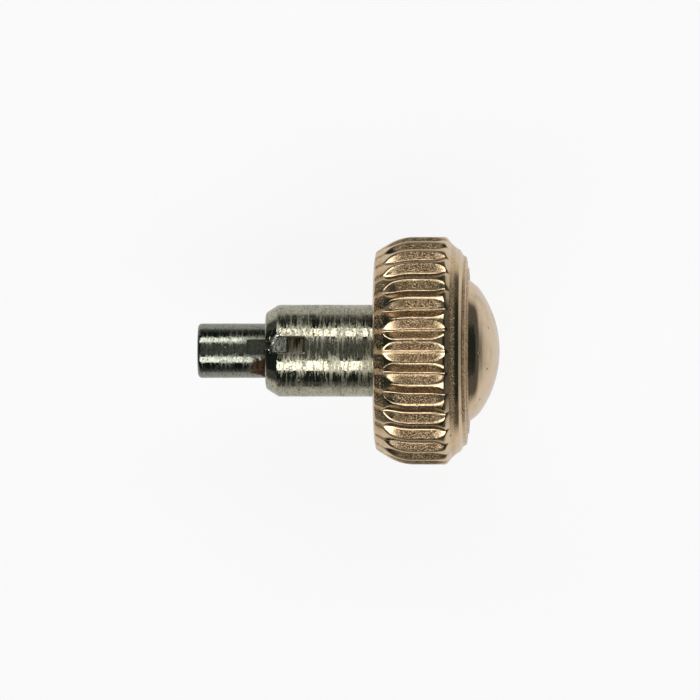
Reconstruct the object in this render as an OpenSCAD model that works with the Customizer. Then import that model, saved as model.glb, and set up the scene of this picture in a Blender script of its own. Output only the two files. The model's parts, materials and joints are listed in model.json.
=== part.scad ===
// Screw-down watch crown with a sprung, keyed stem post.
// Every piece is turned about one axis. The modules draw along +Z, from the mouth of the
// post (0) to the top of the dome, and on_axis() lays the finished piece along +X, as the
// crown lies on a table with its slot on top.

/* [Rim] */
// Diameter over the ridges between the flutes
crown_d = 6.0; // [5.6:0.1:7]
// Length of the rim, from its back face to the front end of the ridges
rim_l = 1.86; // [1.7:0.02:2.3]
// Number of flutes round the rim
flute_count = 32; // [24:1:40]
// Depth of a flute below the ridges
flute_depth = 0.15; // [0.08:0.01:0.2]
// Width of the bare ridge left between two flutes
ridge_w = 0.04; // [0.02:0.01:0.08]
// Turn of the flutes about the axis
flute_clock = 5.1; // [0:0.1:11]
// Where a flute opens out of its crease, from the back face
flute_start = 0.19; // [0.1:0.01:0.25]
// Depth of the crease that runs on from a flute to the back face
crease_depth = 0.02; // [0.01:0.005:0.03]
// Slope of the bevel behind the ridges, in degrees from the axis
bevel_angle = 32; // [25:1:40]
// How far the bevel drops from the ridges to the back face
bevel_drop = 0.42; // [0.3:0.02:0.5]
// Rounding of the back edge
back_round = 0.08; // [0.04:0.01:0.12]
// Radius that blends the bevel into the ridges
crowning_r = 0.6; // [0.3:0.05:0.9]
// Slope of the cone in front of the ridges, in degrees from the axis
front_angle = 49; // [45:1:60]

/* [Front bead and dome] */
// Radius of the rounded bead in front of the flutes
bead_r = 0.47; // [0.42:0.01:0.5]
// How far the centre of the bead lies inside the ridges
bead_inset = 0.72; // [0.64:0.02:0.76]
// Drop from the front lip at the dome to the top of the bead
bead_below = 0.06; // [0.03:0.01:0.09]
// Distance from the front end of the ridges to the front lip
front_l = 0.625; // [0.58:0.005:0.7]
// Thickness of the rolled front lip at the dome
front_lip_t = 0.14; // [0.1:0.01:0.16]
// Diameter of the dome where it leaves the lip
dome_d = 3.74; // [3.4:0.02:3.9]
// Height of the dome above the lip
dome_rise = 0.785; // [0.5:0.005:1]
// Wall of the stamped dome
dome_wall = 0.30; // [0.2:0.02:0.4]
// Thickness of the flange that the front lip holds
flange_t = 0.12; // [0.08:0.01:0.16]

/* [Core and case tube recess] */
// Thickness of the gold rim, from the ridges to the pocket of the core
shell_wall = 0.65; // [0.62:0.01:0.74]
// Thickness of the gold lip rolled over the back of the core
back_lip_t = 0.12; // [0.08:0.01:0.18]
// Inner diameter of the gold back lip
back_lip_d = 3.90; // [3.8:0.02:4.2]
// Diameter of the screw thread for the case tube, which clears a tube of 3.5 mm
tube_thread_d = 3.6; // [3.5:0.05:3.7]
// Length of the case tube thread
tube_thread_l = 0.80; // [0.6:0.05:0.9]
// How far the gasket chamber is wider than the thread, on the radius
chamber_step = 0.05; // [0.03:0.01:0.1]

/* [Gasket] */
// Thickness of the rubber gasket
gasket_t = 0.33; // [0.28:0.01:0.38]
// Thickness of the washer under the gasket
washer_t = 0.10; // [0.08:0.01:0.14]
// Diameter of the washer, which passes the crests of the case tube thread
washer_d = 3.24; // [3:0.02:3.3]

/* [Barrel] */
// Outer diameter of the barrel, which turns in the case tube
barrel_d = 2.41; // [2.3:0.01:2.5]
// Length of the barrel that shows behind the crown
barrel_reach = 2.86; // [2.4:0.02:3.4]
// Length of the bevelled nose at the free end of the barrel
nose_l = 0.33; // [0.2:0.01:0.4]
// Radial drop of that nose
nose_drop = 0.21; // [0.1:0.01:0.25]
// Rounding between the nose and the end face
nose_round = 0.10; // [0.05:0.01:0.12]
// Diameter of the neck that carries the washer and the gasket
neck_d = 2.00; // [1.96:0.01:2.04]
// Diameter of the spigot through the floor of the core
spigot_d = 1.80; // [1.74:0.02:1.86]
// Diameter of the riveted head
rivet_d = 2.50; // [2.3:0.02:2.8]
// Thickness of the riveted head
rivet_t = 0.28; // [0.2:0.02:0.3]
// Thickness of the barrel beyond the end of its bore
barrel_end_t = 0.55; // [0.45:0.01:0.6]

/* [Stem post] */
// Outer diameter of the post
post_d = 1.43; // [1.36:0.01:1.5]
// Length of the post that shows behind the barrel
post_reach = 1.78; // [1.5:0.02:2.2]
// Length of the post that stays inside the barrel
post_hidden_l = 1.95; // [1.7:0.05:2.1]
// Rounding of the free end of the post
post_edge = 0.10; // [0.05:0.01:0.12]
// Diameter of the thread for the winding stem
stem_thread_d = 0.90; // [0.8:0.05:0.95]
// Depth of that thread
stem_thread_l = 2.60; // [2.2:0.05:2.8]
// Width of the bevel at the mouth of that thread
mouth_bevel = 0.08; // [0.04:0.01:0.1]
// Diameter of the peg that centres the spring
peg_d = 0.72; // [0.6:0.02:0.76]
// Length of that peg
peg_l = 0.45; // [0.3:0.05:0.6]

/* [Key and slot] */
// Width of the drive key
key_w = 0.40; // [0.3:0.01:0.44]
// Length of the drive key
key_l = 0.44; // [0.36:0.02:0.5]
// How deep the key is let into the post
key_sink = 0.09; // [0.07:0.01:0.13]
// How far the seat of the key runs on towards the free end of the post
key_runout = 0.63; // [0.4:0.01:0.8]
// How far the flat top of the key lies below the outside of the barrel
key_below = 0.06; // [0.05:0.01:0.1]
// Travel of the crown on its post
travel = 0.45; // [0.3:0.01:0.6]
// Length of the peened lips that close the mouth of the slot
peen_l = 0.14; // [0.08:0.01:0.16]
// Width of the slot that the peened lips leave
peen_gap = 0.20; // [0.1:0.01:0.26]
// Turn of the slot about the axis
slot_clock = 8; // [0:1:45]

/* [Spring] */
// Diameter of the spring wire
wire_d = 0.17; // [0.12:0.01:0.18]
// Mean diameter of the coils
coil_d = 1.06; // [1:0.01:1.12]
// Number of turns
coil_turns = 7; // [5:0.5:8]
// Thickness of the disc that the spring pushes against
seat_t = 0.12; // [0.08:0.01:0.16]

/* [Clearances] */
// Radial running clearance of the post in the barrel
run_fit = 0.02; // [0.01:0.005:0.04]
// Gap between pieces that are pressed or rolled together
press_gap = 0.01; // [0.005:0.001:0.012]
// Clearance at each side of the key in its slot
key_fit = 0.015; // [0.01:0.005:0.03]
// Gap left at each end of the key's travel
stop_gap = 0.01; // [0.005:0.001:0.02]

/* [Hidden] */
$fn = 96;

GOLD = [0.83, 0.64, 0.46];
STEEL = [0.62, 0.62, 0.58];
DARK_STEEL = [0.42, 0.43, 0.42];
RUBBER = [0.10, 0.10, 0.11];

// Broken edges on the pieces inside, and on the thin washer
ease = 0.06;
washer_ease = 0.02;
// Extra length of a cut that leaves the piece
past = 1;
// Where the front cone runs into the bead, as a share of the bead's radius
cone_foot = 0.6;
// Width of the tool that cuts a flute against the flute
cutter_w = 1.7;
// Depth of a drill's point against its diameter
drill_point = 0.3;
// Facets of the spring: along one turn, and round the wire
turn_steps = 16;
wire_sides = 8;
// Rise of the closed turns of the spring against its wire
closed_pitch = 1.1;

// Radii
ridge_r = crown_d / 2;
back_r = ridge_r - bevel_drop;
valley_r = ridge_r - flute_depth;
bead_at_r = ridge_r - bead_inset;
pocket_r = ridge_r - shell_wall;
core_r = pocket_r - press_gap;
dome_r = dome_d / 2;
window_r = dome_r + press_gap;
tube_thread_r = tube_thread_d / 2;
chamber_r = tube_thread_r + chamber_step;
barrel_r = barrel_d / 2;
neck_r = neck_d / 2;
spigot_r = spigot_d / 2;
rivet_r = rivet_d / 2;
post_r = post_d / 2;
bore_r = post_r + run_fit;
key_floor_r = post_r - key_sink;
key_top_r = barrel_r - key_below;

// Places along the axis: the barrel and the back face, then the case tube thread, the
// washer and the gasket one on the other, and from the front lip back to the core's top
barrel_a = post_reach;
back_a = barrel_a + barrel_reach;
pocket_floor_a = back_a + back_lip_t;
core_a = pocket_floor_a + press_gap;
thread_end_a = core_a + tube_thread_l;
washer_a = thread_end_a + press_gap;
gasket_a = washer_a + washer_t + press_gap;
chamber_top_a = gasket_a + gasket_t + press_gap;
ridge_end_a = back_a + rim_l;
lip_a = ridge_end_a + front_l;
apex_a = lip_a + dome_rise;
pocket_top_a = lip_a - front_lip_t;
flange_a = pocket_top_a - press_gap - flange_t;
core_top_a = flange_a - press_gap;
rivet_a = core_top_a - rivet_t;
bore_end_a = core_top_a - barrel_end_t;
seat_a = bore_end_a - press_gap - seat_t;
post_end_a = barrel_a + post_hidden_l;
key_a = barrel_a + peen_l + stop_gap;
slot_end_a = key_a + key_l + travel + stop_gap;

// The bevel, unrounded, meets the ridges here, and the blend ends a tangent length further on
bevel_end_a = back_a + bevel_drop / tan(bevel_angle);
blend_end_a = bevel_end_a + crowning_r * tan(bevel_angle / 2);

// The dome is part of a sphere through its edge and its top
ball_r = (dome_r * dome_r + dome_rise * dome_rise) / (2 * dome_rise);
ball_a = apex_a - ball_r;

// The sides of a flute rise this much for each unit of width, to leave ridge_w at the ridges
flute_half_w = ridge_r * sin(180 / flute_count) - ridge_w / 2;
flute_slope = (sqrt(ridge_r * ridge_r - flute_half_w * flute_half_w) - valley_r) / flute_half_w;

module on_axis() rotate([0, 90, 0]) children();

// Turns a feature that lies along +X so that it faces up, clock degrees towards +Y
module facing(clock) rotate([0, 0, 180 - clock]) children();

// Points [radius, place] on an arc; an angle of 0 points outwards and 90 to the dome
function arc(centre, r, from, to, steps = 4) =
    [for (i = [0 : steps]) let (t = from + (to - from) * i / steps) centre + r * [cos(t), sin(t)]];

// A rounded corner between an end face at a place and a cone that starts there at radius r
function corner(r, place, slope, round) =
    arc([r - round * tan(45 - slope / 2), place + round], round, -90, -slope);

// A plain ring between two radii and two places on the axis
module ring(inner, outer, from, to)
    rotate_extrude()
        translate([inner, from])
            square([outer - inner, to - from]);

// The same ring with its outer edges broken
module eased_ring(inner, outer, from, to, edge)
    rotate_extrude()
        polygon([[inner, from], [outer - edge, from], [outer, from + edge],
                 [outer, to - edge], [outer - edge, to], [inner, to]]);

// Outline of the whole rim: back face, bevel, ridges, front cone, bead and front lip
module rim_outline() {
    bead_a = lip_a - bead_below - bead_r;
    cone_foot_r = bead_at_r + cone_foot * bead_r;
    cone_foot_a = ridge_end_a + (ridge_r - cone_foot_r) / tan(front_angle);
    polygon(concat(
        [[0, back_a]],
        corner(back_r, back_a, bevel_angle, back_round),
        arc([ridge_r - crowning_r, blend_end_a], crowning_r, -bevel_angle, 0),
        [[ridge_r, ridge_end_a], [cone_foot_r, cone_foot_a], [bead_at_r, bead_a + bead_r]],
        [[window_r, lip_a], [0, lip_a]]));
    translate([bead_at_r, bead_a])
        circle(bead_r);
}

// One V groove with its floor through radius r at a place, climbing towards the dome
module groove(r, place, climb) {
    reach = 3 * rim_l;
    half_w = cutter_w * flute_half_w;
    translate([r, 0, place])
        rotate([0, climb, 0])
            translate([0, 0, -reach / 2])
                linear_extrude(reach)
                    polygon([[0, 0], [flute_slope * half_w, half_w], [flute_slope * half_w, -half_w]]);
}

// A flute: a level floor, a lead that dips to the back, and the crease along the bevel
module flute() {
    start_r = back_r + flute_start * tan(bevel_angle) - crease_depth / cos(bevel_angle);
    start_a = back_a + flute_start;
    groove(start_r, start_a, bevel_angle);
    groove(start_r, start_a, atan2(valley_r - start_r, blend_end_a - start_a));
    groove(valley_r, ridge_end_a, 0);
}

module fluted_shell() color(GOLD) on_axis() difference() {
    rotate_extrude()
        difference() {
            rim_outline();
            translate([0, pocket_floor_a])
                square([pocket_r, pocket_top_a - pocket_floor_a]);
            translate([0, back_a - past])
                square([back_lip_d / 2, back_lip_t + 2 * past]);
            translate([0, pocket_top_a - past])
                square([window_r, front_lip_t + 2 * past]);
        }
    for (i = [0 : flute_count - 1])
        facing(flute_clock + (i + 0.5) * 360 / flute_count)
            flute();
}

module dome_cap() color(GOLD) on_axis() difference() {
    union() {
        ring(0, core_r, flange_a, flange_a + flange_t);
        ring(0, dome_r, flange_a, lip_a);
        intersection() {
            translate([0, 0, ball_a])
                sphere(ball_r);
            ring(0, dome_r, lip_a - press_gap, apex_a + past);
        }
    }
    intersection() {
        translate([0, 0, ball_a])
            sphere(ball_r - dome_wall);
        ring(0, dome_r - dome_wall, flange_a - past, apex_a);
    }
}

module crown_core() color(STEEL) on_axis() difference() {
    eased_ring(0, core_r, core_a, core_top_a, ease);
    ring(0, tube_thread_r, core_a - past, thread_end_a);
    ring(0, chamber_r, thread_end_a, chamber_top_a);
    ring(0, spigot_r + press_gap, chamber_top_a - past, core_top_a + past);
    ring(0, rivet_r + press_gap, rivet_a - press_gap, core_top_a + past);
}

module gasket_washer() color(STEEL) on_axis()
    eased_ring(neck_r + press_gap, washer_d / 2, washer_a, washer_a + washer_t, washer_ease);

module crown_gasket() {
    inner_r = neck_r + press_gap;
    width = chamber_r - press_gap - inner_r;
    color(RUBBER) on_axis()
        rotate_extrude()
            translate([inner_r, gasket_a]) {
                translate([gasket_t / 2, 0])
                    square([width - gasket_t, gasket_t]);
                for (x = [gasket_t / 2, width - gasket_t / 2])
                    translate([x, gasket_t / 2])
                        circle(gasket_t / 2);
            }
}

// Outside of the barrel, drawn in by inset: the nose, the length that runs in the case tube, and
// the neck, which ends in a shoulder on the floor of the core
module barrel_outline(inset) {
    outer_r = barrel_r - inset;
    polygon(concat(
        [[0, barrel_a]],
        corner(outer_r - nose_drop, barrel_a, atan2(nose_drop, nose_l), nose_round),
        [[outer_r, barrel_a + nose_l], [outer_r, thread_end_a], [neck_r, thread_end_a]],
        [[neck_r, chamber_top_a - press_gap], [0, chamber_top_a - press_gap]]));
}

module post_barrel() color(STEEL) on_axis() difference() {
    union() {
        rotate_extrude()
            barrel_outline(0);
        ring(0, spigot_r, barrel_a + nose_l, core_top_a);
        eased_ring(0, rivet_r, rivet_a, core_top_a, ease);
    }
    ring(0, bore_r, barrel_a - past, bore_end_a);
    facing(slot_clock) {
        translate([0, -key_w / 2 - key_fit, barrel_a + peen_l])
            cube([barrel_r + past, key_w + 2 * key_fit, slot_end_a - barrel_a - peen_l]);
        translate([0, -peen_gap / 2, barrel_a - past])
            cube([barrel_r + past, peen_gap, past + peen_l + key_fit]);
    }
}

module stem_post() color(DARK_STEEL) on_axis() difference() {
    union() {
        rotate_extrude()
            polygon(concat(
                [[0, 0]],
                corner(post_r, 0, 0, post_edge),
                [[post_r, post_end_a - ease], [post_r - ease, post_end_a], [0, post_end_a]]));
        eased_ring(0, peg_d / 2, post_end_a - ease, post_end_a + peg_l, ease);
    }
    translate([0, 0, -past])
        cylinder(d = stem_thread_d, h = stem_thread_l + past);
    translate([0, 0, stem_thread_l])
        cylinder(d1 = stem_thread_d, d2 = 0, h = stem_thread_d * drill_point);
    cylinder(d1 = stem_thread_d + 2 * mouth_bevel, d2 = stem_thread_d, h = mouth_bevel);
    facing(slot_clock)
        translate([key_floor_r, -key_w / 2 - press_gap / 2, key_a - key_runout])
            cube([past, key_w + press_gap, key_runout + key_l + press_gap]);
}

// The key fills its seat. Its flat top stays inside the barrel, clear of the case tube, and
// its front follows the bevelled nose
module drive_key() color(STEEL) on_axis() intersection() {
    rotate_extrude()
        barrel_outline(key_fit);
    facing(slot_clock)
        translate([key_floor_r, -key_w / 2, key_a])
            cube([key_top_r - key_floor_r, key_w, key_l]);
}

// Height of the wire's middle after a number of turns: one closed turn at each end, open between
function coil_rise(turn) =
    let (closed = wire_d * closed_pitch,
         whole = seat_a - post_end_a - 2 * press_gap - wire_d,
         open = (whole - 2 * closed) / (coil_turns - 2))
    turn < 1 ? turn * closed
    : turn > coil_turns - 1 ? whole - (coil_turns - turn) * closed
    : closed + (turn - 1) * open;

module post_spring() {
    sides = wire_sides;
    steps = turn_steps * coil_turns;
    start_a = post_end_a + press_gap + wire_d / 2;
    points = [for (i = [0 : steps], j = [0 : sides - 1])
        let (turn = coil_turns * i / steps, tilt = 360 * (j + 0.5) / sides,
             r = coil_d / 2 + wire_d / 2 * cos(tilt))
        [r * cos(360 * turn), r * sin(360 * turn), start_a + coil_rise(turn) + wire_d / 2 * sin(tilt)]];
    skin = [for (i = [0 : steps - 1], j = [0 : sides - 1])
        let (a = i * sides + j, b = i * sides + (j + 1) % sides)
        each [[a, a + sides, b], [b, a + sides, b + sides]]];
    ends = [[for (j = [0 : sides - 1]) j], [for (j = [sides - 1 : -1 : 0]) steps * sides + j]];
    color(STEEL) on_axis()
        polyhedron(points, concat(skin, ends));
}

module spring_seat() color(STEEL) on_axis()
    ring(0, post_r, seat_a, seat_a + seat_t);

fluted_shell();
dome_cap();
crown_core();
gasket_washer();
crown_gasket();
post_barrel();
stem_post();
drive_key();
post_spring();
spring_seat();
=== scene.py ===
# %% [markdown]
# # A screw-down watch crown, surface by surface
# A gold rim with a domed top is closed round a steel core. A steel barrel stands out of its back,
# and a post, which takes the winding stem, slides in the barrel against a spring. Nearly all of
# it comes off a lathe, so nearly every surface here is a section carried round one axis. The
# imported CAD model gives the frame: each piece made below takes the place of one CAD node, apart
# from a small burr, which is added. The disc behind the spring keeps its CAD shape.

import json
import math

import bmesh
import bpy
import numpy as np
from mathutils import Matrix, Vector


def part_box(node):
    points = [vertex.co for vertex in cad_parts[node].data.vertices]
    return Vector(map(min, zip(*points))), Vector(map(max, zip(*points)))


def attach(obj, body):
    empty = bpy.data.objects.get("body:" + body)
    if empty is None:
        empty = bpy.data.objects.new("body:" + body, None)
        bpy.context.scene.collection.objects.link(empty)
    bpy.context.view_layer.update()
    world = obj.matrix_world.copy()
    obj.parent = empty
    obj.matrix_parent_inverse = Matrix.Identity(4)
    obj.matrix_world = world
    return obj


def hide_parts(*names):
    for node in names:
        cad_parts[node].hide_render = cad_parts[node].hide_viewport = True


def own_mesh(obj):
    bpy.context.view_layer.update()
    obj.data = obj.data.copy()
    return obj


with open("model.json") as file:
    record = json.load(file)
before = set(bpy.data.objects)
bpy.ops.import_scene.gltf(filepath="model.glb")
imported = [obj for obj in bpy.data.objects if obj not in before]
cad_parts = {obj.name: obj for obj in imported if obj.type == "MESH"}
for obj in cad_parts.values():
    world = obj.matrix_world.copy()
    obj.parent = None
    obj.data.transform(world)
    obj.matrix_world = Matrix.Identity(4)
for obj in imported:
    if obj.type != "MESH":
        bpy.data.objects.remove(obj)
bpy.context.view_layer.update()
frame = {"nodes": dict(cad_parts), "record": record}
MM = 0.001
print("CAD nodes:", ", ".join(sorted(frame["nodes"])))

# %% [markdown]
# ## Where things are
# The CAD nodes are the drawing to work from. Two of their ends and a radius place a turned piece,
# so no place is typed twice. All sizes in this file are millimetres, and a mesh turns them into
# metres when it is made.

# %% Read places from the CAD nodes
def ends(node):
    """Start and end of a CAD node along the axis, in millimetres."""
    low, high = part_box(node)
    return low.x / MM, high.x / MM


rim_back, lip_x = ends("fluted_shell")
core_x, core_top = ends("crown_core")
barrel_x, barrel_end = ends("post_barrel")
post_x, post_tail = ends("stem_post")
key_x, key_end = ends("drive_key")
_, apex_x = ends("dome_cap")
BARREL_R = frame["record"]["mounts"][1]["dims"]["r_mm"]
print(f"the rim starts at {rim_back:.2f}, the dome ends at {apex_x:.2f}, barrel radius {BARREL_R}")

# %% [markdown]
# ## The view
# The photograph looks down on the crown through a long lens, almost square to its axis: the dome
# shows a little more than a square view would give. A camera 300 mm away with a lens of nearly
# 600 mm flattens the crown in the same way.

# %% Place the camera
FRAME_W = 18.37
CAMERA_FAR = 300.0
CAMERA_TILT = math.radians(2)
AIM = np.array([3.984, 0.018, 0.0])

lens = bpy.data.cameras.new("long_lens")
lens.sensor_width = 36
lens.lens = lens.sensor_width * CAMERA_FAR / FRAME_W
lens.clip_start, lens.clip_end = 0.01, 5
camera = bpy.data.objects.new("camera", lens)
towards_camera = np.array([math.sin(CAMERA_TILT), 0, math.cos(CAMERA_TILT)])
camera.location = (AIM + CAMERA_FAR * towards_camera) * MM
camera.rotation_euler = (0, CAMERA_TILT, 0)
bpy.context.collection.objects.link(camera)
bpy.context.scene.camera = camera
print(f"lens {lens.lens:.0f} mm, camera at {tuple(round(c, 4) for c in camera.location)} m")

# %% [markdown]
# ## Turning a section
# A lathe tool follows an outline, and its corners are never quite sharp. `outline` takes the
# corners with a rounding for each, as on a workshop drawing, and fills in the arcs. `turned`
# carries the points round the axis, and `skin` lays faces over the grid that results. A Screw
# modifier could turn a section too, but a grid of numbers can be changed further: the flutes,
# the threads and the slot are all made by changing the radius from point to point.

# %% Section, grid and mesh
SHARP_EDGE = math.radians(40)


def outline(corners, step, closed=False):
    """Points (x, r) along straight runs between corners (x, r, rounding), with tangent arcs.

    In a corner whose half angle is h, an arc of radius R touches both runs at R / tan h from the
    corner, and its centre lies R / sin h inwards. No two points are further apart than step.
    """
    at = np.array([c[:2] for c in corners], float)
    path = []
    for i, (*_, rounding) in enumerate(corners):
        if rounding == 0:
            path.append(at[i][None])
            continue
        back, on = at[i - 1] - at[i], at[(i + 1) % len(at)] - at[i]
        back, on = back / np.linalg.norm(back), on / np.linalg.norm(on)
        half = math.acos(back @ on) / 2
        inwards = (back + on) / np.linalg.norm(back + on)
        centre = at[i] + inwards * rounding / math.sin(half)
        first = at[i] + back * rounding / math.tan(half) - centre
        last = at[i] + on * rounding / math.tan(half) - centre
        sweep = math.pi - 2 * half
        t = np.linspace(0, sweep, max(4, math.ceil(rounding * sweep / step) + 1))[:, None]
        path.append(centre + (np.sin(sweep - t) * first + np.sin(t) * last) / math.sin(sweep))
    path = np.concatenate(path)
    if closed:
        path = np.concatenate([path, path[:1]])
    parts = np.ceil(np.linalg.norm(np.diff(path, axis=0), axis=1) / step).clip(1)
    stops = np.concatenate([[0], np.cumsum(parts)])
    fine = np.arange(stops[-1] + (0 if closed else 1))
    return np.column_stack([np.interp(fine, stops, path[:, 0]), np.interp(fine, stops, path[:, 1])])


def turned(x, r, angle):
    """Points at place x and radius r, where angle 0 faces up and turns towards +Y."""
    x, r, angle = np.broadcast_arrays(x, r, angle)
    return np.stack([x, r * np.sin(angle), r * np.cos(angle)], axis=-1)


def grid_faces(rows, count, closed):
    """Vertex numbers of the four-sided faces between so many rows and columns of points."""
    ids = np.arange(rows * count).reshape(rows, count)
    ids = np.vstack([ids, ids[:1]]) if closed else ids
    ids = np.hstack([ids, ids[:, :1]])
    return np.stack([ids[:-1, :-1], ids[1:, :-1], ids[1:, 1:], ids[:-1, 1:]], axis=-1)


def make_mesh(name, points, faces, **marks):
    """An object from points in millimetres, smooth but for its sharp edges, faces outwards.

    Points that fall together, as in a pole, merge. Each of marks is a number for each point, kept
    on the mesh for a shader to read.
    """
    mesh = bpy.data.meshes.new(name)
    mesh.from_pydata(points.reshape(-1, 3) * MM, [], faces)
    for mark, values in marks.items():
        attribute = mesh.attributes.new(mark, "FLOAT", "POINT")
        attribute.data.foreach_set("value", values.ravel().astype("f"))
    work = bmesh.new()
    work.from_mesh(mesh)
    bmesh.ops.remove_doubles(work, verts=work.verts, dist=1e-8)
    bmesh.ops.recalc_face_normals(work, faces=work.faces)
    work.to_mesh(mesh)
    work.free()
    mesh.polygons.foreach_set("use_smooth", np.ones(len(mesh.polygons), bool))
    mesh.set_sharp_from_angle(angle=SHARP_EDGE)
    piece = bpy.data.objects.new(name, mesh)
    bpy.context.collection.objects.link(piece)
    print(f"{name}: {len(mesh.polygons)} faces")
    return piece


def skin(name, points, closed=False, **marks):
    """A surface over a grid of points: rows along the section, columns round the axis.

    If closed, the section is a loop and its last row joins the first. If not, the first and the
    last row are a point each, apart from the rim of the sheet, which stays open.
    """
    faces = grid_faces(*points.shape[:2], closed).reshape(-1, 4)
    return make_mesh(name, points, faces.tolist(), **marks)


def columns(count):
    """Evenly spaced angles round the axis."""
    return np.arange(count) * 2 * math.pi / count


def unevenness(x, angle, seed, reach):
    """Slow waves of about -1 to 1: sines with whole turns round the axis, so that they close.

    The sum of sin(n a + k x + phase) over twelve n, k and phases from a seeded generator, divided
    by the root of twelve.
    """
    rng = np.random.default_rng(seed)
    waves = 12
    total = 0
    for _ in range(waves):
        turns = rng.integers(1, 14)
        total = total + np.sin(turns * angle + rng.normal() * x / reach + rng.uniform(0, 6.28))
    return total / math.sqrt(waves)


def place(piece, body, node, material):
    """Lets a piece stand for a CAD node, ride on its body and carry its finish."""
    piece.data.materials.append(material)
    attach(piece, body)
    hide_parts(node)
    count = len(material.node_tree.nodes)
    print(f"{piece.name} stands for {node}, in {material.name} of {count} shader nodes")

# %% [markdown]
# ## Wiring a finish
# Every finish of the crown is a Principled shader with numbers that vary over the surface. Small
# helpers keep that readable. `add` makes a node and wires it, `grain` stretches a noise along the
# axis or round it, and `between` turns a noise into a useful range. `give` wires such numbers to
# the shader, and `wired` tells what is there already, so that a stain can be laid over it.

# %% Shader helpers
def add(material, kind, sockets=(), **settings):
    """Adds a shader node. A socket is given a number, or the output of another node."""
    node = material.node_tree.nodes.new("ShaderNode" + kind)
    for name, value in settings.items():
        setattr(node, name, value)
    for key, value in dict(sockets).items():
        if isinstance(value, bpy.types.NodeSocket):
            material.node_tree.links.new(value, node.inputs[key])
        else:
            node.inputs[key].default_value = value
    return node


def grain(material, along, across, detail=3.0, roughness=0.55):
    """Noise with so many features to the millimetre along the axis and across it."""
    where = add(material, "TexCoord").outputs["Object"]
    scale = (along / MM, across / MM, across / MM)
    stretched = add(material, "Mapping", {"Vector": where, "Scale": scale}).outputs[0]
    return add(material, "TexNoise", {"Vector": stretched, "Scale": 1.0, "Detail": detail,
                                      "Roughness": roughness}).outputs["Fac"]


def between(material, value, low, high, start, end):
    """Stretches low..high of a value to start..end, and holds it there outside that range."""
    return add(material, "MapRange", {"Value": value, "From Min": low, "From Max": high,
                                      "To Min": start, "To Max": end}).outputs["Result"]


def mixed(material, share, first, second):
    """One colour turning into another as share goes from 0 to 1.

    A Mix node has sockets for numbers, vectors and colours: those for two colours are 6 and 7,
    and their mixture comes out at 2.
    """
    node = add(material, "Mix", {0: share}, data_type="RGBA")
    for socket, colour in ((node.inputs[6], first), (node.inputs[7], second)):
        if isinstance(colour, bpy.types.NodeSocket):
            material.node_tree.links.new(colour, socket)
        else:
            socket.default_value = (*colour, 1)
    return node.outputs[2]


def sums(material, operation, *values):
    """A Math node over one or two values."""
    return add(material, "Math", dict(enumerate(values)), operation=operation).outputs[0]


def bumped(material, height, depth, normal=None):
    """A bump whose height of 0..1 stands for so many millimetres."""
    sockets = {"Height": height, "Distance": depth * MM, "Strength": 1.0}
    if normal:
        sockets["Normal"] = normal
    return add(material, "Bump", sockets).outputs["Normal"]


def specks(material, per_mm, radius):
    """Round pits: 1 within a radius in millimetres of scattered points and 0 away from them.

    The points fill space, per_mm of them along a millimetre, so a surface passes them at all
    distances and its pits have all sizes up to that radius.
    """
    where = add(material, "TexCoord").outputs["Object"]
    far = add(material, "TexVoronoi", {"Vector": where, "Scale": per_mm / MM}).outputs["Distance"]
    edge = radius * per_mm
    return between(material, far, 0.55 * edge, edge, 1, 0)


def new_finish(name, **sockets):
    """A Principled material. Socket names are written with underscores."""
    material = bpy.data.materials.new(name)
    material.use_nodes = True
    give(material, **sockets)
    return material


def give(material, **sockets):
    """Sets or wires the sockets of a material's Principled shader."""
    shader = material.node_tree.nodes["Principled BSDF"]
    for key, value in sockets.items():
        socket = shader.inputs[key.replace("_", " ")]
        if isinstance(value, bpy.types.NodeSocket):
            material.node_tree.links.new(value, socket)
        else:
            socket.default_value = (*value, 1) if isinstance(value, tuple) else value


def wired(material, socket):
    """What a socket of the material's Principled shader is wired to so far."""
    return material.node_tree.nodes["Principled BSDF"].inputs[socket].links[0].from_socket

# %% [markdown]
# ## Rose gold
# The dome and the rim are one alloy, gold with copper in it. Handling leaves three traces on it:
# the polish is broken by fine scratches, small pits hold dirt, and patches have gone duller and
# browner. A metal shows its colour only in what it reflects, so the traces go into roughness and
# bump first and into colour last.

# %% Rose gold finish
ROSE_GOLD = (0.83, 0.645, 0.44)
TARNISH = (0.42, 0.29, 0.16)


def rose_gold(name, polish, dull, mottle=0.0012, colour=ROSE_GOLD):
    """Gold rough from polish to dull in patches, with scratches, pits and a mottle so deep."""
    gold = new_finish(name, Metallic=1.0)
    patches = grain(gold, 1.6, 1.6, detail=5)
    fine = grain(gold, 20, 20, detail=3)
    scratches = grain(gold, 4, 38, detail=2)
    pit = specks(gold, 2.4, 0.042)
    stain = sums(gold, "MAXIMUM", between(gold, patches, 0.50, 0.72, 0, 0.40), pit)
    give(gold,
         Base_Color=mixed(gold, stain, colour, TARNISH),
         Roughness=between(gold, sums(gold, "ADD", patches, sums(gold, "MULTIPLY", fine, 0.5)),
                           0.60, 0.90, polish, dull),
         Normal=bumped(gold, pit, -0.010,
                       bumped(gold, scratches, 0.0006, bumped(gold, fine, mottle))))
    return gold

# %% [markdown]
# ## The fluted rim
# This is the piece that takes skill. On the real crown a blank is turned first: back face, bevel,
# ridges, a cone in front of them, the bead, and a front lip that falls to the dome in small
# steps. A V tool then sinks 32 flutes into it, one after another. Each starts as a crease in the
# bevel, opens quickly to its full depth, follows the crowned outline of the blank, and lifts out
# before the front cone, so that it looks like a boat from above. A Boolean could cut 32 wedges,
# but it leaves no control over the edges. Here the radius at each point is the smaller of two
# numbers, the blank's and the flute's, and a smooth minimum wears the edge between them as
# polishing does.

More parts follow.
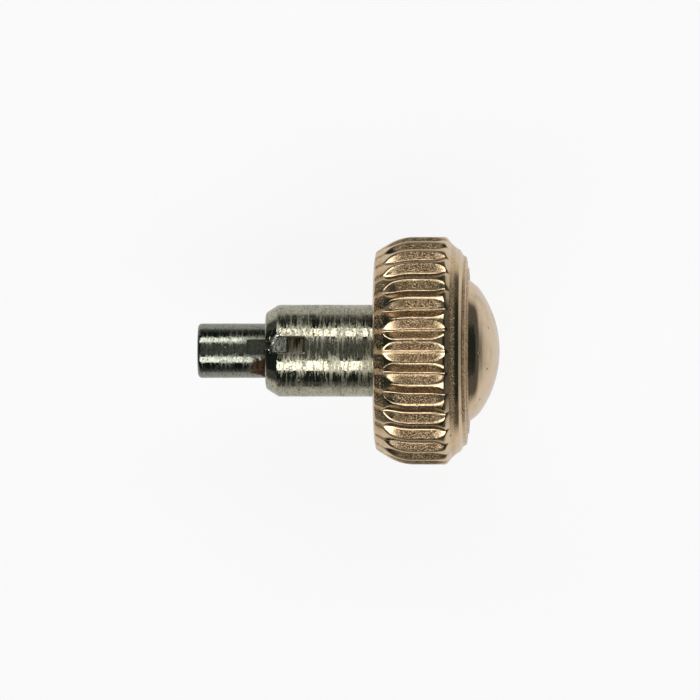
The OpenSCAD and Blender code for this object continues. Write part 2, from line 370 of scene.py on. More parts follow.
# %% Sizes of the rim
RIDGE_R = 2.998
BEVEL_DROP, BEVEL = 0.42, math.radians(32)
FLUTES, FIRST_RIDGE = 32, math.radians(5.1)
FLUTE_DEPTH, RIDGE_W = 0.15, 0.14
FLUTE_TIP, FULL_FROM, FULL_TO, FLUTE_END = 0.26, 0.66, 1.42, 1.985
CREASE_DEPTH, TOOL_TIP = 0.032, 0.011
DEPTH_SPREAD, PLACE_SPREAD = 0.004, 0.0022
BACK_LIP_R, WINDOW_R, POCKET_R = 1.95, 1.88, 2.35

back_r = RIDGE_R - BEVEL_DROP
bevel_end = BEVEL_DROP / math.tan(BEVEL)
flute_half = RIDGE_R * math.sin(math.pi / FLUTES) - RIDGE_W / 2
flute_slope = (math.sqrt(RIDGE_R ** 2 - flute_half ** 2) - RIDGE_R + FLUTE_DEPTH) / flute_half
print(f"each flute is {2 * flute_half:.2f} mm wide, and its walls rise {flute_slope:.2f} in 1")

# %% The blank, from the back lip over the ridges and the bead to the front lip
blank = outline([
    (0.0, BACK_LIP_R, 0), (0.0, 2.40, 0.05), (0.035, back_r + 0.02, 0.11),
    (bevel_end, RIDGE_R, 1.25), (1.88, RIDGE_R, 0.12), (2.015, 2.82, 0.04), (2.12, 2.722, 0.06),
    (2.25, 2.64, 0.03), (2.325, 2.512, 0.02), (2.41, 2.455, 0.015), (2.425, 2.36, 0.02),
    (2.43, 2.205, 0.02), (2.468, 2.171, 0.03), (2.472, 1.97, 0.05), (2.485, WINDOW_R, 0),
], step=0.036)
inside = outline([(2.345, WINDOW_R, 0), (2.345, POCKET_R, 0), (0.12, POCKET_R, 0),
                  (0.12, BACK_LIP_R, 0)], step=0.8)
print(f"the blank's section has {len(blank)} points outside and {len(inside)} inside")

# %% Flutes
def flute_share(x):
    """How much of its depth a flute has at a place: 0 at its ends and 1 along its middle.

    Behind, it opens as 1 - u^2.5, where u goes from 1 at the tip to 0 at full depth. In front it
    closes as 1 - u^2.8. A crease of constant depth runs on from the tip to the back face.
    """
    opening = 1 - ((FULL_FROM - x) / (FULL_FROM - FLUTE_TIP)).clip(0, 1.2) ** 2.5
    closing = 1 - ((x - FULL_TO) / (FLUTE_END - FULL_TO)).clip(0, 1.6) ** 2.8
    crease = np.where(x < 1, CREASE_DEPTH / FLUTE_DEPTH, -1)
    return np.maximum(np.minimum(opening, closing), crease)


def smooth_minimum(a, b, width):
    """(a + b - sqrt((a - b)^2 + width^2)) / 2, the smaller value with its edge worn round."""
    return (a + b - np.sqrt((a - b) ** 2 + width ** 2)) / 2


def fluted_radius(x, r, angle):
    """Radius of the cut rim at the points of its blank.

    A wall that rises k for each unit of width from a floor at radius f has, at the angle a from
    the middle of its flute, the radius f / (cos a - k |sin a|). |sin a| is rounded at 0 by
    sqrt(sin^2 a + w^2) - w, as the tip of the tool is. The edges are worn most in front. Each
    flute is a little deeper or shallower than the next, and a little off its place.
    """
    pitch = 2 * math.pi / FLUTES
    number = np.floor((angle - FIRST_RIDGE) / pitch).astype(int)
    rng = np.random.default_rng(32)
    deeper = rng.normal(0, DEPTH_SPREAD, FLUTES)[number % FLUTES]
    aside = rng.normal(0, PLACE_SPREAD, FLUTES)[number % FLUTES]
    a = angle - FIRST_RIDGE - (number + 0.5) * pitch - aside
    side = np.sqrt(np.sin(a) ** 2 + TOOL_TIP ** 2) - TOOL_TIP
    floor = r - (FLUTE_DEPTH + deeper) * flute_share(x)
    wall = floor / (np.cos(a) - flute_slope * side)
    edge_wear = np.interp(x, [0.3, 0.5, 1.5, 1.9], [0.010, 0.015, 0.015, 0.024])
    return smooth_minimum(r, wall, edge_wear)

# %% [markdown]
# The grid gives each flute 20 columns. They stand closest at the middle of each ridge and of each
# flute, where the surface turns sharply, and furthest apart on the flat walls between. Polishing
# has also left the whole blank uneven by about a thousandth of a millimetre, which makes the
# reflections swim a little. The back lip and all that lies in front of the flutes stay uncut, and
# beside the holes in the back and in the front the rim keeps the exact radius of the drawing.

# %% Cut the rim
FLUTE_COLUMNS, POLISH_WAVES, FLUTES_STOP = 20, 0.0012, 2.1
t = np.arange(FLUTES * FLUTE_COLUMNS) / FLUTE_COLUMNS
t = t - 0.5 * np.sin(4 * math.pi * t) / (4 * math.pi)
rim_angles = FIRST_RIDGE + t * 2 * math.pi / FLUTES

x, r = blank[:, :1], blank[:, 1:]
worn = r - POLISH_WAVES * np.abs(unevenness(x, rim_angles, 5, 0.25))
cut = fluted_radius(x, worn, rim_angles)
cut = np.where((r < BACK_LIP_R + 0.3) | (x > FLUTES_STOP), worn, cut)
cut = np.where(r < BACK_LIP_R + 0.1, r, cut)
print(f"the deepest flute is cut {np.max(worn - cut):.3f} mm into the blank")

# %% [markdown]
# The material has to know where the flutes are: their walls are satin, and darkened by grime
# and painted shade along their deep middles, while their ends and the ridges have been rubbed
# bright. The bevel and the front cone are frosted with small dull flecks.
# Old dirt sits in the creases and thinly on the front cone. On the front lip it is thicker, and
# there it is painted shade as well as dirt, in the corner between bead and lip and at the seam
# with the dome. The depth of the cut is already known at each point, so three shares, satin,
# frost and dirt, go onto the mesh as attributes, and the shader reads them by name.

# %% Build the rim with its shares of satin, frost and dirt
outer = turned(rim_back + x, cut, rim_angles)
inner = turned(rim_back + inside[:, :1], inside[:, 1:], rim_angles)
sunk = (worn - cut) / FLUTE_DEPTH
along_flute = np.interp(x, [0.40, 0.80, 1.60, 1.90], [0, 1, 1, 0])
satin = along_flute * np.interp(sunk, [0.01, 0.15, 0.86, 0.95], [0.3, 1, 1, 0.3])
on_bevel = np.interp(x, [0.03, 0.06, 0.24, 0.36], [0, 1, 1, 0])
dirt = on_bevel * np.interp(sunk, [0.04, 0.13], [0.04, 1])
# Towards the front lip this share is painted shade as well as dirt: it darkens the corner between
# bead and lip and the seam with the dome.
dirt_and_shade_in_front = np.interp(x, [2.02, 2.06, 2.12, 2.16, 2.33, 2.35, 2.44, 2.47],
                          [0, 0.25, 0.25, 0, 0, 0.6, 0.6, 0.85])
on_cone = np.interp(x, [1.99, 2.03, 2.13, 2.18], [0, 1, 1, 0])
frost = np.maximum(on_bevel, on_cone) * (sunk < 0.1)
clean = np.zeros(inner.shape[:2])
rim = skin("fluted_rim", np.concatenate([outer, inner]), closed=True,
           satin=np.concatenate([satin, clean]), frost=np.concatenate([frost, clean]),
           dirt=np.concatenate([np.maximum(dirt, dirt_and_shade_in_front), clean]))

# %% Shares of satin, frost and soil in the shader, with painted shade in the satin and on the lip
# The first colour is grime and painted shade in the flutes; the dark soil is dirt, and on the front
# lip painted shade as well.
GRIME_AND_SHADE, DARK_SOIL_AND_SHADE, PALE_SOIL = (0.13, 0.08, 0.034), (0.50, 0.30, 0.125), (0.95, 0.74, 0.48)
rim_gold = rose_gold("rim_gold", 0.07, 0.20, mottle=0.0022, colour=(0.82, 0.61, 0.38))
in_flute = add(rim_gold, "Attribute", attribute_name="satin").outputs["Fac"]
dirt_and_shade = add(rim_gold, "Attribute", attribute_name="dirt").outputs["Fac"]
soil_grain = grain(rim_gold, 16, 12, detail=4, roughness=0.75)
# The soil share is dirt, and on the front lip painted shade as well.
soil_and_shade = sums(rim_gold, "MULTIPLY", dirt_and_shade, between(rim_gold, soil_grain, 0.37, 0.57, 0.3, 1))
sparkle = grain(rim_gold, 30, 44, detail=2, roughness=0.8)
satin_height = sums(rim_gold, "MULTIPLY", in_flute, sparkle)
# Grime and painted shade: a near-black brown over most of each flute wall, with gold showing
# through in specks.
flute_grime_and_shade = sums(rim_gold, "MULTIPLY", in_flute, between(rim_gold, sparkle, 0.41, 0.50, 0.1, 1))
flecks = between(rim_gold, grain(rim_gold, 28, 22, detail=3, roughness=0.8), 0.54, 0.60, 0, 1)
on_slope = add(rim_gold, "Attribute", attribute_name="frost").outputs["Fac"]
frosted = sums(rim_gold, "MULTIPLY", flecks, on_slope)

# %% Polished ridges, satin flutes with grime and painted shade, frosted slopes, and old dirt with painted shade on the lip
satin_roughness = sums(rim_gold, "ADD", wired(rim_gold, "Roughness"),
                       sums(rim_gold, "MULTIPLY", in_flute, 0.10))
rough_soil = sums(rim_gold, "MULTIPLY", soil_and_shade, 0.55)
rough_flecks = sums(rim_gold, "MULTIPLY", frosted, 0.82)
gold_grime_and_shade = mixed(rim_gold, flute_grime_and_shade, wired(rim_gold, "Base Color"), GRIME_AND_SHADE)
soil_and_shade_colour = mixed(rim_gold, flecks, DARK_SOIL_AND_SHADE, PALE_SOIL)
give(rim_gold,
     Base_Color=mixed(rim_gold, soil_and_shade, gold_grime_and_shade, soil_and_shade_colour),
     Metallic=between(rim_gold, soil_and_shade, 0, 1, 1, 0.1),
     Roughness=sums(rim_gold, "MAXIMUM", rough_flecks,
                    sums(rim_gold, "MAXIMUM", satin_roughness, rough_soil)),
     Normal=bumped(rim_gold, satin_height, 0.014, wired(rim_gold, "Normal")))
place(rim, "crown", "fluted_shell", rim_gold)

# %% [markdown]
# ## The dome
# The top is a stamped cap whose flange the front lip holds. A part of a sphere comes close, but
# the photograph shows a fuller shoulder: a short cone leaves the lip and bends softly into the
# ball. That cone mirrors the dark part of the room, and is the dark crescent beside the lip.
# Below the lip the cap has its flange and its hollow, which nobody sees, because a cap without
# an inside would not be a closed piece.

# %% The dome's section, from the middle of its hollow over the flange to the middle of its top
GAP = 0.01
DOME_R, CAP_BALL, CAP_WALL = 1.87, 2.80, 0.30
SHOULDER_R, ARC_FROM, HOLLOW_R = 1.67, 1.48, 1.50
FLANGE_R, FLANGE_BACK, FLANGE_FRONT = POCKET_R - GAP, 6.855, 6.975


def ball_arc(radius, tilt):
    """Points (x, r) of a ball about ball_x: x = ball_x + R cos tilt and r = R sin tilt."""
    return np.column_stack([ball_x + radius * np.cos(tilt), radius * np.sin(tilt)])


ball_x = apex_x - CAP_BALL
crown_arc = ball_arc(CAP_BALL, np.linspace(math.asin(ARC_FROM / CAP_BALL), 0, 36))
shoulder_x = ball_x + math.sqrt(CAP_BALL ** 2 - SHOULDER_R ** 2)
foot = outline([(FLANGE_BACK, HOLLOW_R, 0), (FLANGE_BACK, FLANGE_R, 0),
                (FLANGE_FRONT, FLANGE_R, 0), (FLANGE_FRONT, DOME_R, 0),
                (lip_x - 0.02, DOME_R, 0.02), (shoulder_x, SHOULDER_R, 0.6),
                (*crown_arc[0], 0)], step=0.025)
hollow_ball = CAP_BALL - CAP_WALL
hollow = ball_arc(hollow_ball, np.linspace(0, math.asin(HOLLOW_R / hollow_ball), 12))
section = np.concatenate([hollow, foot, crown_arc[1:]])
print(f"the dome's section has {len(section)} points, {apex_x - lip_x:.2f} mm high over the lip")

# %% Turn the dome, with shallow dents
DENTS = 0.003
around = columns(192)
x, r = section[:, :1], section[:, 1:]
dents = np.where(x > lip_x, unevenness(x, around, 11, 0.3) - 0.6, 0) * DENTS * (r / DOME_R)
dome = skin("dome", turned(x + dents, r, around))
dome_gold = rose_gold("dome_gold", 0.07, 0.20, mottle=0.0018)
place(dome, "crown", "dome_cap", dome_gold)

# %% [markdown]
# ## Steel
# The barrel, the post and the core are turned steel. A turning tool leaves rings, so the grain
# is dense along the axis and long round it. In the photograph these rings show as fine streaks
# across the bright bands: where a ring is rougher, light from the sides reaches the camera, and
# where it is smooth it doesn't. So the streaks go into the roughness first. A slower noise adds
# zones with more and with fewer of them, small grains are torn out along the rough rings, and
# the barrel's nose has been rubbed smooth.

# %% Steel finish
STEEL = (0.50, 0.475, 0.355)
RUST = (0.055, 0.026, 0.010)


def turned_steel(name, colour, polish, dull, rings, depth=0.0012, rubbed_to=0.0):
    """Steel with so many tool rings to the millimetre, grains so deep, and small pits.

    The rings set how rough a place is, from polish to dull, and how much the grains tilt the
    surface there. Up to the place rubbed_to on the axis, in millimetres, they are rubbed away.
    """
    steel = new_finish(name, Metallic=1.0)
    zones = between(steel, grain(steel, 1.8, 0.8, detail=2), 0.35, 0.65, -0.06, 0.06)
    streak = sums(steel, "ADD", zones, grain(steel, rings, 2.0, detail=5, roughness=0.75))
    if rubbed_to:
        where = add(steel, "SeparateXYZ", {0: add(steel, "TexCoord").outputs["Object"]}).outputs[0]
        rubbed = between(steel, where, (rubbed_to - 0.06) * MM, rubbed_to * MM, 0.3, 0)
        streak = sums(steel, "SUBTRACT", streak, rubbed)
    speck = grain(steel, 20, 16, detail=3, roughness=0.75)
    pit = specks(steel, 2.4, 0.036)
    dark = tuple(0.25 * c for c in colour)
    worn_off = sums(steel, "MAXIMUM", pit, between(steel, speck, 0.52, 0.60, 0, 0.8))
    torn = sums(steel, "MULTIPLY", speck, between(steel, streak, 0.46, 0.58, 0.1, 1))
    give(steel,
         Base_Color=mixed(steel, worn_off, colour, dark),
         Roughness=between(steel, streak, 0.48, 0.59, polish, dull),
         Normal=bumped(steel, pit, -0.008, bumped(steel, torn, depth)))
    return steel


def stained(steel, amount, colour=RUST):
    """Rust, grease or dirt over steel: where amount is 1 a rough layer of that colour hides it."""
    rough_layer = between(steel, amount, 0, 1, 0, 0.62)
    give(steel,
         Base_Color=mixed(steel, amount, wired(steel, "Base Color"), colour),
         Metallic=between(steel, amount, 0, 1, 1, 0.1),
         Specular_IOR_Level=between(steel, amount, 0, 1, 0.5, 0.12),
         Roughness=sums(steel, "MAXIMUM", wired(steel, "Roughness"), rough_layer))


def near(material, centre, radius):
    """1 near a point given in millimetres and 0 far from it, with a ragged edge.

    The distance divided by the radius, plus 2.4 times a noise, is compared with 2.2: where the
    noise is at its mean of 0.5, the edge lies at the radius.
    """
    where = add(material, "TexCoord").outputs["Object"]
    far = add(material, "VectorMath", {0: where, 1: tuple(c * MM for c in centre)},
              operation="DISTANCE").outputs["Value"]
    ragged = sums(material, "ADD", sums(material, "MULTIPLY", far, 1 / (radius * MM)),
                  sums(material, "MULTIPLY", grain(material, 5, 5, detail=5, roughness=0.7), 2.4))
    return between(material, ragged, 2.2 - 0.25, 2.2 + 0.25, 1, 0)

# %% [markdown]
# ## The barrel
# The barrel is a tube with a bevelled nose, riveted into the core at its far end. A slot is cut
# along it from the nose, and its mouth has been hammered partly shut, so that the key can't
# slide out. The section is one line from the bottom of the bore, out over the nose and along the
# outside, so the slot is simply a field of faces left out of the grid. The columns beside it keep
# a fixed distance from the slot's middle, not a fixed angle: at the distance v they stand at the
# angle arcsin(v / r), which makes the sides of the slot flat and parallel. In the closed ends r
# counts as 0.5 at least, because the columns have to meet at the axis without crossing.

# %% Sizes of the barrel
BORE_R, BORE_END = 0.735, 6.295
NOSE_L, NOSE_DROP = 0.33, 0.21
NECK_R, NECK_X, SHOULDER_X = 1.00, 5.57, 6.02
SPIGOT_R, RIVET_R, RIVET_X = 0.90, 1.25, 6.565
SLOT_CLOCK = math.radians(8)
SLOT_HALF, LIP_HALF, LIP_COLUMNS = 0.215, 0.10, 4
LIP_END, SLOT_END = barrel_x + 0.14, 2.83
PEEN_DEPTH, WORN_WAVES = 0.035, 0.0010
NOSE_SLOPE = NOSE_DROP / NOSE_L

tube = outline([
    (BORE_END, 0, 0), (BORE_END, BORE_R, 0), (SLOT_END, BORE_R, 0), (LIP_END, BORE_R, 0),
    (barrel_x, BORE_R, 0.03), (barrel_x, BARREL_R - NOSE_DROP, 0.10),
    (LIP_END, BARREL_R - NOSE_DROP + (LIP_END - barrel_x) * NOSE_SLOPE, 0),
    (barrel_x + NOSE_L, BARREL_R, 0.10), (SLOT_END, BARREL_R, 0), (NECK_X, BARREL_R, 0.02),
    (NECK_X, NECK_R, 0), (SHOULDER_X, NECK_R, 0), (SHOULDER_X, SPIGOT_R, 0),
    (RIVET_X, SPIGOT_R, 0), (RIVET_X, RIVET_R, 0.04),
    (barrel_end, RIVET_R, 0.05), (barrel_end, 0, 0)], step=0.045)

# %% Give the slot its own columns
across = np.concatenate([np.linspace(-SLOT_HALF, -LIP_HALF, LIP_COLUMNS + 1),
                         np.linspace(-LIP_HALF, LIP_HALF, 9)[1:-1],
                         np.linspace(LIP_HALF, SLOT_HALF, LIP_COLUMNS + 1)])
x, r = tube[:, :1], tube[:, 1:]
slot_angles = np.arcsin((across / np.maximum(r, 0.5)).clip(-1, 1))
rest = np.linspace(0, 1, 151)[1:-1]
edge = slot_angles[:, -1:]
tube_angles = SLOT_CLOCK + np.hstack([slot_angles, edge + rest * (2 * math.pi - 2 * edge)])
aside = (tube_angles - SLOT_CLOCK + math.pi) % (2 * math.pi) - math.pi
bumps = np.exp(-((x - LIP_END - 0.04) / 0.20) ** 2 - (aside * BARREL_R / 0.36) ** 2)
peened = bumps * PEEN_DEPTH * unevenness(x, tube_angles * 4, 3, 0.05)
peened = np.where(r > BORE_R + 0.05, np.abs(peened), 0)
wave = WORN_WAVES * unevenness(x, tube_angles, 9, 0.2)
wave = np.where((r > BARREL_R - 0.01) & (x < 4.7), wave, 0)
tube_points = turned(x, r - peened + wave, tube_angles)
print(f"the barrel's grid has {len(tube)} rows, and {len(across)} of its columns serve the slot")

# %% [markdown]
# Leaving the faces out opens the tube, because it has a wall with an inside and an outside. The
# slot's own walls close it again: each is one flat face between the edge in the bore and the edge
# outside, one wall on either side of the wide part and of the lips, a shoulder where they meet,
# and the end.

# %% Leave out the slot and close its walls
def crossing(x, level, outside):
    """The row where the section passes a place: the outer one, or the one in the bore."""
    rows = np.flatnonzero(np.abs(x[:, 0] - level) < 1e-6)
    return rows[-1] if outside else rows[0]


def slotted(points, x):
    """Faces of the tube with the slot left out, then the slot's side walls, shoulders and end."""
    rows, count = points.shape[:2]
    cells = grid_faces(rows, count, closed=False)
    ids = np.arange(rows * count).reshape(rows, count)
    end_in, end_out = crossing(x, SLOT_END, False), crossing(x, SLOT_END, True)
    lip_in, lip_out = crossing(x, LIP_END, False), crossing(x, LIP_END, True)
    left, right = 0, len(across) - 1
    lip_left, lip_right = LIP_COLUMNS, right - LIP_COLUMNS
    keep = np.ones(cells.shape[:2], bool)
    keep[end_in:end_out, left:right] = False
    keep[lip_in:lip_out, left:lip_left] = True
    keep[lip_in:lip_out, lip_right:right] = True
    walls = []
    for column, lip, flip in ((left, lip_left, 1), (right, lip_right, -1)):
        wide = np.concatenate([ids[end_in:lip_in + 1, column], ids[lip_out:end_out + 1, column]])
        walls += [wide[::flip].tolist(), ids[lip_in:lip_out + 1, lip][::flip].tolist()]
        reach = slice(min(column, lip), max(column, lip) + 1)
        shoulder = np.concatenate([ids[lip_in, reach], ids[lip_out, reach][::-1]])
        walls.append(shoulder[::-1].tolist())
    end = np.concatenate([ids[end_in, left:right + 1], ids[end_out, left:right + 1][::-1]])
    walls.append(end.tolist())
    return cells[keep].tolist() + walls


barrel = make_mesh("slotted_barrel", tube_points, slotted(tube_points, x))
broken_edges = barrel.modifiers.new("broken edges", "BEVEL")
broken_edges.width, broken_edges.segments = 0.018 * MM, 2
broken_edges.limit_method, broken_edges.angle_limit = "ANGLE", math.radians(55)

# %% Worn steel for the barrel, with brown in the slot
barrel_steel = turned_steel("barrel_steel", STEEL, 0.06, 0.44, rings=17, depth=0.0060,
                            rubbed_to=barrel_x + NOSE_L)
slot_middle = (2.55, math.sin(SLOT_CLOCK), 1.0)
in_slot = near(barrel_steel, slot_middle, 0.30)
stained(barrel_steel, sums(barrel_steel, "MULTIPLY", in_slot, 0.55))
place(barrel, "crown", "post_barrel", barrel_steel)

# %% [markdown]
# The hammer also raised a burr, which runs slantwise from the mouth over the key's corner. It is
# a thin ridge of its own, half sunk in the wall: a tube along a short line whose radius tapers to
# nothing at both ends and changes from place to place.

# %% Raise the burr
BURR_FROM, BURR_TO, BURR_R = (1.985, -0.5), (2.22, 20.0), 0.058
along = np.linspace(0, 1, 41)[:, None]
round_burr = columns(14)
taper = np.sqrt(np.sin(math.pi * along).clip(0, 1))
thick = BURR_R * taper * (1 + 0.30 * unevenness(along, 0, 21, 0.04))
thick[[0, -1]] = 0
burr_x = BURR_FROM[0] + along * (BURR_TO[0] - BURR_FROM[0]) + thick * np.cos(round_burr)
burr_clock = SLOT_CLOCK + np.radians(BURR_FROM[1] + along * (BURR_TO[1] - BURR_FROM[1]))
burr_r = np.interp(along, [0, 0.6, 1], [1.180, 1.200, 1.195]) + 0.6 * thick * np.sin(round_burr)
burr = skin("peened_burr", turned(burr_x, burr_r, burr_clock))
# The burr's steel is a lighter copy of the barrel's: a painted highlight along the hammered mouth.
burr_steel_and_highlight = turned_steel("burr_steel_and_highlight", (0.74, 0.72, 0.62), 0.18, 0.36, rings=17)
burr.data.materials.append(burr_steel_and_highlight)
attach(burr, "crown")

# %% [markdown]
# ## The post
# The post slides in the barrel. Its free end is tapped for the winding stem, and a seat for the
# key is milled into its side. The thread is a helix, so its radius depends on x and on the angle
# together: a wave along the axis whose phase turns once round in each pitch. Because one turn
# moves the wave by exactly one pitch, the first and the last column meet.

# %% Sizes of the post
POST_R, POST_EDGE = 0.715, 0.10
TAP_R, TAP_L, TAP_PITCH, TAP_DEPTH = 0.45, 2.60, 0.225, 0.095
MOUTH_BEVEL, DRILL_POINT = 0.08, 0.27
SPRING_X, PEG_R = 3.73, 0.36
SEAT_R, SEAT_HALF, SEAT_FROM, SEAT_TO = 0.625, 0.2025, 1.30, 2.38
MILL_EDGE = 0.004


def thread(x, angle, pitch):
    """0 at the root of a thread and 1 at its crest: a triangle wave along a right-hand helix.

    The wave is 1.25 high and cut off an eighth from its foot and its top, so that both are flat.
    """
    phase = (x / pitch - angle / (2 * math.pi)) % 1.0
    return (1.25 * (1 - np.abs(2 * phase - 1)) - 0.125).clip(0, 1)


def key_seat(x, angle, r):
    """Lowers the outside to a flat where the key's seat is. The flat's radius is SEAT_R / cos a."""
    a = angle - SLOT_CLOCK
    a = (a + math.pi) % (2 * math.pi) - math.pi
    inside = (np.abs(np.sin(a)) * POST_R < SEAT_HALF) & (np.abs(a) < 1)
    inside = inside & (x > SEAT_FROM) & (x < SEAT_TO)
    return np.where(inside, np.minimum(r, SEAT_R / np.cos(a)), r)

# %% Turn, tap and mill the post
bore = outline([(TAP_L + DRILL_POINT, 0, 0), (TAP_L, TAP_R, 0), (post_x, TAP_R, 0)],
               step=TAP_PITCH / 12)
outside = outline([(post_x, TAP_R + MOUTH_BEVEL, 0), (post_x, POST_R, POST_EDGE),
                   (SEAT_FROM - MILL_EDGE, POST_R, 0), (SEAT_FROM + MILL_EDGE, POST_R, 0),
                   (SEAT_TO - MILL_EDGE, POST_R, 0), (SEAT_TO + MILL_EDGE, POST_R, 0),
                   (SPRING_X, POST_R, 0.05), (SPRING_X, PEG_R, 0), (post_tail, PEG_R, 0.06),
                   (post_tail, 0, 0)], step=0.05)
edge = math.asin(SEAT_HALF / POST_R)
seat_edges = SLOT_CLOCK + edge * np.array([-1.012, -0.988, 0.988, 1.012])
post_angles = np.sort(np.concatenate([columns(144), seat_edges]) % (2 * math.pi))
x, r = bore[:, :1], bore[:, 1:]
crest = r - TAP_DEPTH * thread(x, post_angles, TAP_PITCH) * (r > TAP_R - 1e-6)
tapped = np.maximum(crest, np.where(x < 0.3, TAP_R + MOUTH_BEVEL - x, 0))
milled = key_seat(outside[:, :1], post_angles, outside[:, 1:])
post = skin("stem_post_tapped", np.concatenate([turned(x, tapped, post_angles),
                                                turned(outside[:, :1], milled, post_angles)]))

# %% [markdown]
# The post's steel is darker than the barrel's and burnished by the sliding. Three stains lie on
# it: old grease in brown and pale streaks, which shows in the slot behind the key, a thin film of
# dark oil on the flat outside the barrel, and rust with dark blotches in the corner between post
# and barrel. The grease's pale streaks are painted highlights as well as dried grease. All three
# are patches of another colour with a ragged edge.

# %% Burnish the post and stain it
GREASE, PALE_GREASE_AND_HIGHLIGHT, OIL = (0.14, 0.08, 0.04), (0.92, 0.86, 0.70), (0.022, 0.026, 0.018)
CORNER_RUST, BLACK_RUST = (0.10, 0.046, 0.020), (0.022, 0.016, 0.010)
post_steel = turned_steel("post_steel", (0.31, 0.32, 0.26), 0.06, 0.30, rings=13, depth=0.0030)
# The pale streaks are painted highlights as well as dried grease: nearly white, they light up the
# dark slot behind the key.
grease_and_highlight_streaks = between(post_steel, grain(post_steel, 16, 1.5, detail=4), 0.38, 0.50, 0, 1)
stained(post_steel, near(post_steel, (2.6, 0.1, 0.7), 0.55),
        colour=mixed(post_steel, grease_and_highlight_streaks, GREASE, PALE_GREASE_AND_HIGHLIGHT))
on_flat = near(post_steel, (1.62, 0.05, 0.68), 0.42)
stained(post_steel, sums(post_steel, "MULTIPLY", on_flat, 0.5), colour=OIL)
blotches = between(post_steel, grain(post_steel, 13, 13, detail=4), 0.42, 0.58, 0, 1)
stained(post_steel, near(post_steel, (1.72, -0.45, 0.52), 0.34),
        colour=mixed(post_steel, blotches, CORNER_RUST, BLACK_RUST))
place(post, "post", "stem_post", post_steel)

# %% [markdown]
# ## The drive key
# The key is a small filed block let into the post. It fills the slot from side to side, its top
# is flat, and its outer corner follows the barrel's nose. A section in the plane of the slot is
# carried straight across. The first and the last row shrink to the section's middle and so close
# the two sides, and a Bevel modifier breaks all the edges.

# %% File the key
KEY_HALF, KEY_TOP = 0.20, BARREL_R - 0.06
nose_height = BARREL_R - NOSE_DROP - 0.015 + (key_x - barrel_x) * NOSE_SLOPE
key_section = outline([(key_x, SEAT_R, 0), (key_x, nose_height, 0),
                       (key_x + (KEY_TOP - nose_height) / NOSE_SLOPE, KEY_TOP, 0),
                       (key_end, KEY_TOP, 0), (key_end, SEAT_R, 0)], step=0.1, closed=True)
widths = np.linspace(-KEY_HALF, KEY_HALF, 7)
middle = key_section.mean(axis=0)
rows = [np.broadcast_to(middle, key_section.shape)] + [key_section] * len(widths)
rows = np.array(rows + [np.broadcast_to(middle, key_section.shape)])
width = np.concatenate([widths[:1], widths, widths[-1:]])[:, None]
along_axis, height = rows[..., 0], rows[..., 1]
sine, cosine = math.sin(SLOT_CLOCK), math.cos(SLOT_CLOCK)
key = skin("filed_key", np.stack([along_axis, height * sine + width * cosine,
                                  height * cosine - width * sine], axis=-1))
filed = key.modifiers.new("filed edges", "BEVEL")
filed.width, filed.segments, filed.limit_method = 0.028 * MM, 3, "ANGLE"
filed.angle_limit = math.radians(30)
key_steel = turned_steel("key_steel", (0.41, 0.42, 0.345), 0.12, 0.38, rings=9, depth=0.022)
place(key, "post", "drive_key", key_steel)

# %% [markdown]
# ## The core and what it holds
# Seen from the back, the steel core shows the thread that the watch's case tube screws into.
# Behind the thread lie a washer and a rubber gasket, and the barrel stands in the middle.

# %% Turn the core and cut its thread
TUBE_R, TUBE_L, TUBE_PITCH, TUBE_DEPTH = 1.80, 0.80, 0.25, 0.14
CHAMBER_R, CHAMBER_X, CORE_R = 1.85, 6.03, 2.34
thread_end = core_x + TUBE_L
body = outline([(core_x, TUBE_R + 0.06, 0), (core_x, CORE_R, 0.06), (core_top, CORE_R, 0.06),
                (core_top, RIVET_R + GAP, 0), (RIVET_X - GAP, RIVET_R + GAP, 0),
                (RIVET_X - GAP, SPIGOT_R + GAP, 0), (CHAMBER_X, SPIGOT_R + GAP, 0),
                (CHAMBER_X, CHAMBER_R, 0), (thread_end, CHAMBER_R, 0)], step=0.2)
turns = outline([(thread_end, TUBE_R, 0), (core_x, TUBE_R, 0)], step=TUBE_PITCH / 12)[:, :1]
around = columns(160)
ramp = ((turns - core_x) / 0.10).clip(0, 1) * ((thread_end - turns) / 0.06).clip(0, 1)
tapped = TUBE_R - TUBE_DEPTH * ramp * thread(turns, around, TUBE_PITCH)
core = skin("tapped_core", np.concatenate([turned(body[:, :1], body[:, 1:], around),
                                           turned(turns, tapped, around)]), closed=True)
core_steel = turned_steel("core_steel", STEEL, 0.16, 0.34, rings=20)
place(core, "crown", "crown_core", core_steel)

# %% Washer, gasket and the disc behind the spring
washer_x, washer_end = ends("gasket_washer")
gasket_x, gasket_end = ends("crown_gasket")
washer_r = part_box("gasket_washer")[1].z / MM
inner_r, outer_r = NECK_R + GAP, CHAMBER_R - GAP
ring = outline([(washer_x, inner_r, 0.015), (washer_x, washer_r, 0.02),
                (washer_end, washer_r, 0.02), (washer_end, inner_r, 0.015)], 0.1, closed=True)
washer = skin("washer", turned(ring[:, :1], ring[:, 1:], columns(128)), closed=True)
place(washer, "crown", "gasket_washer", core_steel)

round_r = (gasket_end - gasket_x) / 2 - 0.002
lip = outline([(gasket_x, inner_r, round_r), (gasket_x, outer_r, round_r),
               (gasket_end, outer_r, round_r), (gasket_end, inner_r, round_r)], 0.03, closed=True)
gasket = skin("gasket", turned(lip[:, :1], lip[:, 1:], columns(128)), closed=True)
rubber = new_finish("gasket_rubber", Base_Color=(0.022, 0.022, 0.024))
bloom = grain(rubber, 9, 9)
give(rubber, Roughness=between(rubber, bloom, 0.35, 0.65, 0.38, 0.62),
     Normal=bumped(rubber, bloom, 0.004))
place(gasket, "crown", "crown_gasket", rubber)

spring_seat = frame["nodes"]["spring_seat"]
spring_seat.data.materials.clear()
spring_seat.data.materials.append(core_steel)

